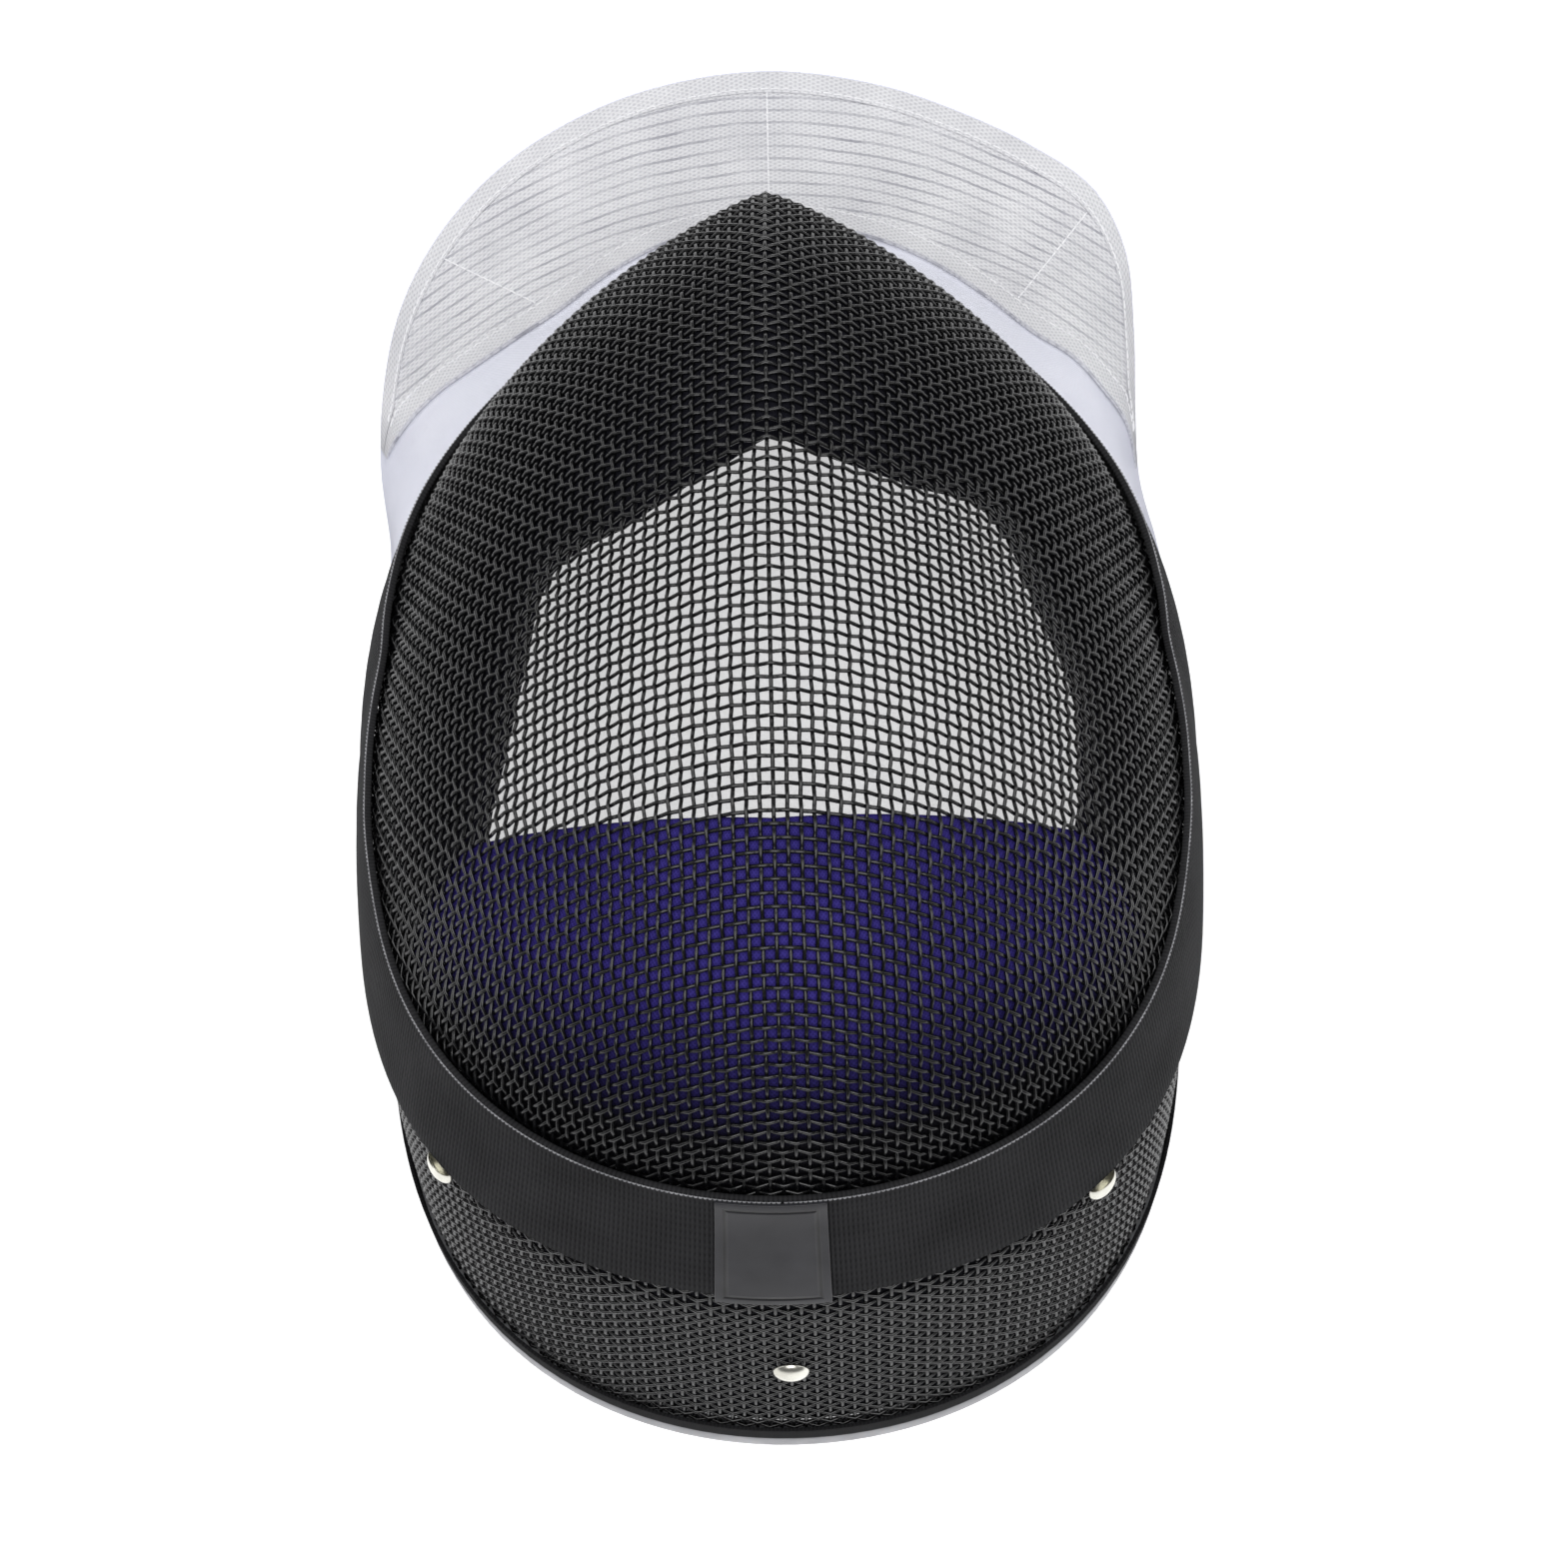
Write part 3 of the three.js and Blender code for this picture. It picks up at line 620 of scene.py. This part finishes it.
def cloth_material(name, thread, gap, across, along, relief, roughness=0.9, rib=0.0,
                   lines=None, painted_shade=None):
    """A woven cloth, or a knitted one with ribs. lines = (spacing, width share, colour) draws uneven
    cross lines, and painted_shade = (start, end, colour) is painted shade that darkens it towards its first
    edge."""
    material, tree, shader = start_material(name, roughness, 0.0)
    shader.inputs["Specular IOR Level"].default_value = CLOTH_GLOSS
    uv = tree.nodes.new("ShaderNodeUVMap")
    uv.uv_map = "cloth"
    weave = place_group(tree, WEAVE, Place=uv.outputs[0], Across=across, Along=along, Rib=rib)
    tone = place_group(tree, MOTTLE, Place=object_place(tree), Scale=60.0, Low=0.0, High=0.35)
    # The hollows between threads are darkened towards the gap colour: painted shade.
    shaded = math_node(tree, "MULTIPLY", weave.outputs["Gap"], 0.75)
    amount = math_node(tree, "ADD", shaded, tone.outputs[0])
    colour = mix_colour(tree, amount, thread, gap)
    split = tree.nodes.new("ShaderNodeSeparateXYZ")
    tree.links.new(uv.outputs[0], split.inputs[0])
    if lines:
        spacing, share, ink = lines
        drift = place_group(tree, MOTTLE, Place=object_place(tree), Scale=45.0, Low=-0.5, High=0.5)
        moved = math_node(tree, "ADD", split.outputs["Y"], drift.outputs[0])
        run = math_node(tree, "DIVIDE", moved, spacing)
        on_line = math_node(tree, "LESS_THAN", math_node(tree, "FRACT", run), share)
        strength = place_group(tree, MOTTLE, Place=object_place(tree), Scale=90.0, Low=0.15, High=0.9)
        colour = mix_colour(tree, math_node(tree, "MULTIPLY", on_line, strength.outputs[0]), colour, ink)
    # Painted shade: the colour darkens towards the cloth's first edge.
    if painted_shade:
        start, end, dark = painted_shade
        reached = tree.nodes.new("ShaderNodeMapRange")
        reached.inputs["From Min"].default_value = start
        reached.inputs["From Max"].default_value = end
        tree.links.new(split.outputs["Y"], reached.inputs["Value"])
        colour = mix_colour(tree, reached.outputs[0], dark, colour)
    tree.links.new(colour, shader.inputs["Base Color"])
    bump = tree.nodes.new("ShaderNodeBump")
    bump.inputs["Strength"].default_value = 0.7
    bump.inputs["Distance"].default_value = relief * MM
    tree.links.new(weave.outputs["Height"], bump.inputs["Height"])
    tree.links.new(bump.outputs[0], shader.inputs["Normal"])
    return material


def patch_material(name, dark, light, roughness, wide, high):
    """Smooth vinyl with a sewn line pressed into it."""
    material = hard_material(name, dark, light, roughness, 0.0, 60.0)
    tree = material.node_tree
    shader = tree.nodes["Principled BSDF"]
    shader.inputs["Specular IOR Level"].default_value = VINYL_GLOSS
    uv = tree.nodes.new("ShaderNodeUVMap")
    uv.uv_map = "cloth"
    line = place_group(tree, GROOVE, Place=uv.outputs[0], Wide=wide, High=high, Inset=2.4).outputs[0]
    base = shader.inputs["Base Color"].links[0].from_socket
    tree.links.new(mix_colour(tree, line, base, srgb(8, 8, 9)), shader.inputs["Base Color"])
    bump = tree.nodes.new("ShaderNodeBump")
    bump.invert = True
    bump.inputs["Distance"].default_value = 0.5 * MM
    tree.links.new(line, bump.inputs["Height"])
    tree.links.new(bump.outputs[0], shader.inputs["Normal"])
    return material


LABEL_WIDE = 26.0
LABEL_TALL = LABEL_HEIGHT[1] - LABEL_HEIGHT[0]
lame_tones = (srgb(234, 234, 237), srgb(190, 190, 196))
wire_paint = hard_material("wire_enamel", srgb(6, 6, 7), srgb(14, 14, 16), 0.25, 0.0, 160.0)
knit_tape = cloth_material("knit_tape", srgb(46, 46, 48), srgb(5, 5, 6), 0.9, 0.45, 0.6, rib=0.75)
vinyl = patch_material("vinyl", srgb(34, 34, 37), srgb(48, 48, 52), 0.36, LABEL_WIDE, LABEL_TALL)
nickel = hard_material("nickel", srgb(196, 194, 184), srgb(226, 225, 216), 0.28, 1.0, 120.0)
rim_grey = hard_material("rim_grey", srgb(146, 146, 150), srgb(170, 170, 174), 0.5, 0.0, 80.0)
black_tape = cloth_material("black_tape", srgb(28, 28, 30), srgb(8, 8, 9), 1.2, 1.2, 0.3)
# The navy pad's darkening towards the band is painted shade, where the pad lies in shadow behind the wire.
navy_cloth = cloth_material("navy_cloth", srgb(64, 54, 142), srgb(38, 32, 96), 1.0, 1.0, 0.3,
                            painted_shade=(24.0, 56.0, srgb(14, 13, 20)))
black_cloth = cloth_material("black_cloth", srgb(26, 26, 36), srgb(10, 10, 16), 1.0, 1.0, 0.3)
white_cloth = cloth_material("white_cloth", srgb(243, 244, 254), srgb(226, 228, 242), 1.4, 1.4, 0.25)
lame_cloth = cloth_material("lame_cloth", *lame_tones, 0.42, 0.84, 0.5, 0.55,
                            lines=(LAME_LINE_STEP, 0.2, srgb(158, 158, 167)))
lame_fold = cloth_material("lame_fold", *lame_tones, 0.42, 0.84, 0.5, 0.55)
grey_thread = hard_material("grey_thread", srgb(120, 120, 124), srgb(160, 160, 164), 0.8, 0.0, 300.0)
white_thread = hard_material("white_thread", srgb(236, 236, 240), srgb(250, 250, 252), 0.8, 0.0, 300.0)

# Woven wire of the face and of the crown

for label, net, keep, node in (
    ("face", face_net(), lambda p: seam_height(p) > FACE_WIRE_LOW, "face_mesh"),
    ("crown", crown_net(), lambda p: (seam_height(p) < CROWN_WIRE_HIGH) & (p[..., 2] > CROWN_WIRE_FOOT),
     "crown_mesh"),
):
    warp, weft = wire_lines(net, keep)
    for lines, kind in ((warp, "warp"), (weft, "weft")):
        mesh = tube_mesh(f"{label}_{kind}", lines, WIRE_RADIUS, WIRE_SIDES)
        add_object(f"{label}_{kind}", mesh, wire_paint, [node])

# Band, patch, rim and tape

TURN = 2 * math.pi


def band_at(u, v):
    return seam_point(u * TURN, BAND_LOW + (BAND_HIGH - BAND_LOW) * v, BAND_OUTER)


band = add_object("band_tape", grid_mesh("band_tape", 200, 10, band_at, (790, 34.7), wrap=True),
                  knit_tape, ["trim_band"])
thicken(band, BAND_THICK, bevel=0.5)
STITCH_INSET = 0.9
edge_turn = np.linspace(0, TURN, PATH_POINTS)
edge_path = seam_point(edge_turn, BAND_HIGH - STITCH_INSET, BAND_OUTER)
edge_threads = stitch_mesh("band_stitches", edge_path, unit(shell_slope(edge_path)),
                           pitch=1.1, length=0.8, radius=0.2)
edge_stitches = add_object("band_stitches", edge_threads, grey_thread)


def label_at(u, v):
    azimuth = LABEL_AZIMUTH[0] + (LABEL_AZIMUTH[1] - LABEL_AZIMUTH[0]) * u
    return seam_point(azimuth, LABEL_HEIGHT[0] + (LABEL_HEIGHT[1] - LABEL_HEIGHT[0]) * v, LABEL_OUTER)


patch = add_object("vinyl_patch", grid_mesh("vinyl_patch", 12, 18, label_at, (LABEL_WIDE, LABEL_TALL)),
                   vinyl, ["label_patch"])
thicken(patch, LABEL_THICK, bevel=0.3)


def rim_at(u, v):
    turn = v * TURN
    side, rise = np.cos(turn), np.sin(turn)
    rounded = 0.35
    across = np.sign(side) * np.abs(side) ** rounded * RIM_HALF
    height = (np.sign(rise) * np.abs(rise) ** rounded + 1) / 2 * RIM_HEIGHT
    return level_point(u * TURN, height, across)


add_object("rim_edging", grid_mesh("rim_edging", 200, 16, rim_at, (800, 17), wrap=True),
           rim_grey, ["rear_rim"])


def tape_at(u, v):
    return level_point(u * TURN, TAPE_HEIGHT[0] + (TAPE_HEIGHT[1] - TAPE_HEIGHT[0]) * v, TAPE_OUTER)


tape = add_object("edge_tape", grid_mesh("edge_tape", 200, 3, tape_at, (800, 6), wrap=True), black_tape,
                  ["rim_tape"])
thicken(tape, TAPE_THICK, bevel=0.3)

# Rivets

for name, (azimuth, height, cut) in RIVETS.items():
    place = seam_point(np.array(math.radians(azimuth)), np.array(float(height)), np.array(0.0))
    facing = Vector(unit(shell_slope(place)))
    bm = bmesh.new()
    steps = 8
    profile = [bm.verts.new((0, 0, RIVET_SEAT))]
    for k in range(steps + 1):
        turn = math.pi / 2 * k / steps
        across = RIVET_RADIUS * math.cos(turn) if k < steps else 0.0
        profile.append(bm.verts.new((across, 0, RIVET_SEAT + RIVET_RISE * math.sin(turn))))
    edges = [bm.edges.new(pair) for pair in zip(profile, profile[1:])]
    bmesh.ops.spin(bm, geom=profile + edges, cent=(0, 0, 0), axis=(0, 0, 1), angle=TURN, steps=40,
                   use_merge=True)
    bmesh.ops.remove_doubles(bm, verts=bm.verts, dist=1e-4)
    bmesh.ops.recalc_face_normals(bm, faces=bm.faces)
    spot = Matrix.Translation(Vector(place)) @ facing.to_track_quat("Z", "Y").to_matrix().to_4x4()
    bm.transform(spot)
    bmesh.ops.bisect_plane(bm, geom=bm.verts[:] + bm.edges[:] + bm.faces[:], dist=1e-5,
                           plane_co=Vector(SEAM_CENTRE + SEAM_NORMAL * cut), plane_no=Vector(SEAM_NORMAL),
                           clear_outer=True)
    for vert in bm.verts:
        vert.co = to_frame(vert.co)
    for face in bm.faces:
        face.smooth = True
    mesh = bpy.data.meshes.new(name)
    bm.to_mesh(mesh)
    bm.free()
    add_object(f"{name}_head", mesh, nickel, [name])

# Pads behind the face wire


def forehead_at(u, v):
    azimuth = FOREHEAD_HALF_ANGLE * (2 * u - 1)
    first = elevation_at(azimuth, PAD_BASE)
    low, high = first.copy(), np.full_like(first, math.pi / 2)
    for _ in range(HALVINGS):
        middle = (low + high) / 2
        p = face_point(azimuth, middle, np.zeros_like(azimuth))
        short = p[..., 1] < FOREHEAD_EDGE_Y + FOREHEAD_EDGE_FALL * np.abs(p[..., 0])
        low, high = np.where(short, middle, low), np.where(short, high, middle)
    return face_point(azimuth, first + (low - first) * v, PAD_OUTER)


def chin_at(u, v):
    limit = CHIN_PAD_EDGE[-1, 0]
    turn = limit * (2 * u - 1)
    azimuth = math.pi + np.radians(turn)
    first = elevation_at(azimuth, PAD_BASE)
    edge = np.radians(table_at(CHIN_PAD_EDGE, turn)[0])
    return face_point(azimuth, first + (edge - first) * v, PAD_OUTER)


brow_pad = add_object("brow_padding", grid_mesh("brow_padding", 60, 24, forehead_at, (180, 90)), navy_cloth,
                      ["forehead_pad"])
thicken(brow_pad, FOREHEAD_THICK, bevel=2.5)
jaw_pad = add_object("jaw_padding", grid_mesh("jaw_padding", 140, 16, chin_at, (380, 70)), black_cloth,
                     ["chin_pad"])
thicken(jaw_pad, CHIN_THICK, bevel=2.0)


def crown_pad_at(u, v):
    part = CROWN_PAD_PART[0] + (CROWN_PAD_PART[1] - CROWN_PAD_PART[0]) * v
    return crown_point(CROWN_PAD_HALF_ANGLE * (2 * u - 1), part, CROWN_PAD_OUTER)


crown_lining = add_object("crown_lining", grid_mesh("crown_lining", 60, 16, crown_pad_at, (380, 90)),
                          black_cloth, ["crown_pad"])
thicken(crown_lining, CROWN_PAD_THICK, bevel=0.8)

# Bib and its grey layer


def bib_at(u, v):
    return bib_layer(BIB_HALF_TURN * (1 - 2 * u), v, np.full_like(u, BIB_THICK / 2))


def lame_at(u, v):
    turn = LAME_HALF_TURN * (1 - 2 * u)
    return lame_surface(turn, lame_part(turn, v), 0.0)


def lame_flat(points):
    return np.stack([points[:, 0], points[:, 1] + LAME_LINE_BOW * points[:, 0] ** 2], -1)


def fold_at(edge):
    """Surface of a folded border along the upper edge (0) or the hem (1) of the lame."""
    def surface(u, v):
        turn = LAME_HALF_TURN * (1 - 2 * u)
        first, last = lame_part(turn, 0.0), lame_part(turn, 1.0)
        length = np.linalg.norm(bib_point(turn, last) - bib_point(turn, first), axis=-1)
        width = np.minimum(FOLD_WIDTH / length, 0.48) * (last - first)
        part = last - width * (1 - v) if edge else first + width * v
        return lame_surface(turn, part, FOLD_GAP + FOLD_THICK)
    return surface


def lame_normal(turn, part):
    return unit(bib_layer(turn, part, np.ones_like(part)) - bib_point(turn, part))


bib = add_object("bib_cloth", grid_mesh("bib_cloth", 120, 20, bib_at, (420, 75)), white_cloth,
                 ["bib"])
thicken(bib, BIB_THICK, bevel=0.8)
lame = add_object("lame_layer", grid_mesh("lame_layer", 140, 14, lame_at, (1, 1), flat_at=lame_flat),
                  lame_cloth, ["bib_lame"])
thicken(lame, LAME_THICK, bevel=0.25)
for name, edge in (("upper_fold", 0), ("hem_fold", 1)):
    fold = add_object(name, grid_mesh(name, 160, 4, fold_at(edge), (310, 6)), lame_fold)
    thicken(fold, FOLD_THICK, bevel=0.15)
    across = np.linspace(0.03, 0.97, 600)
    path = fold_at(edge)(across, np.full_like(across, 1 - edge) * 0.84 + edge * 0.16)
    turn = LAME_HALF_TURN * (1 - 2 * across)
    facing = lame_normal(turn, lame_part(turn, float(edge)))
    threads = stitch_mesh(f"{name}_stitches", path, facing, pitch=2.8, length=2.2, radius=0.2)
    add_object(f"{name}_stitches", threads, white_thread)
for k, (turn_a, reach_a, turn_b, reach_b) in enumerate(LAME_SEAMS):
    share = np.linspace(0, 1, 120)
    turn = turn_a + (turn_b - turn_a) * share
    part = part_at(turn, reach_a + (reach_b - reach_a) * share)
    path = lame_surface(turn, part, 0.0)
    threads = stitch_mesh(f"lame_seam_{k + 1}", path, lame_normal(turn, part),
                          pitch=2.4, length=2.0, radius=0.25)
    add_object(f"lame_seam_{k + 1}", threads, white_thread)

# Stage, light and camera

# The floor's glow is painted light: it lifts the mask's shadow on the floor and the shaded floor seen
# through the face wire.
FLOOR_HALF, FLOOR_GLOW, WORLD_LIGHT = 3.0, 0.5, 0.14
bm = bmesh.new()
bmesh.ops.create_grid(bm, x_segments=1, y_segments=1, size=FLOOR_HALF)
floor_mesh = bpy.data.meshes.new("floor")
bm.to_mesh(floor_mesh)
bm.free()
floor = bpy.data.objects.new("floor", floor_mesh)
bpy.context.scene.collection.objects.link(floor)
floor_paint, _, floor_shader = start_material("floor_paint", 0.6, 0.0)
floor_shader.inputs["Base Color"].default_value = (0.86, 0.86, 0.87, 1)
# Painted light: the floor glows to brighten its shaded parts.
floor_shader.inputs["Emission Color"].default_value = (1, 1, 1, 1)
floor_shader.inputs["Emission Strength"].default_value = FLOOR_GLOW
floor_mesh.materials.append(floor_paint)


def add_light(name, place, target, size, power):
    data = bpy.data.lights.new(name, "AREA")
    data.shape = "RECTANGLE"
    data.size, data.size_y = size
    data.energy = power
    lamp = bpy.data.objects.new(name, data)
    lamp.location = place
    lamp.rotation_euler = (Vector(target) - Vector(place)).to_track_quat("-Z", "Y").to_euler()
    bpy.context.scene.collection.objects.link(lamp)


# columns: name, place, point it faces, width and height, power
LIGHTS = [
    ("key_soft", (0.0, -0.55, 1.9), (0, 0, 0.1), (1.4, 1.4), 30),
    ("left_soft", (-1.4, 0.1, 0.8), (0, 0, 0.1), (0.7, 1.6), 6),
    ("right_soft", (1.4, 0.1, 0.8), (0, 0, 0.1), (0.7, 1.6), 6),
    ("bib_soft", (0.0, 1.3, 1.2), (0, 0.12, 0.05), (1.4, 0.8), 9),
]
for light in LIGHTS:
    add_light(*light)

world = bpy.data.worlds.new("studio")
world.use_nodes = True
world.node_tree.nodes["Background"].inputs[0].default_value = (1, 1, 1, 1)
world.node_tree.nodes["Background"].inputs[1].default_value = WORLD_LIGHT
bpy.context.scene.world = world
bpy.context.scene.view_settings.view_transform = "Standard"

PHOTO_PIXELS = 1569
FOCAL_PIXELS = 4906.88
CAMERA_PLACE = (11.764, -194.043, 1214.858)
CAMERA_RIGHT = (0.99969, -0.02005, -0.01474)
CAMERA_UP = (0.02328, 0.96285, 0.26902)
CAMERA_BACK = (0.00879, -0.26928, 0.96302)
camera_data = bpy.data.cameras.new("photo_camera")
camera_data.sensor_width = 36
camera_data.lens = 36 * FOCAL_PIXELS / PHOTO_PIXELS
camera = bpy.data.objects.new("photo_camera", camera_data)
turned = Matrix((CAMERA_RIGHT, CAMERA_UP, CAMERA_BACK)).transposed().to_4x4()
camera.matrix_world = Matrix.Translation(Vector(to_frame(CAMERA_PLACE))) @ turned
bpy.context.scene.collection.objects.link(camera)
bpy.context.scene.camera = camera
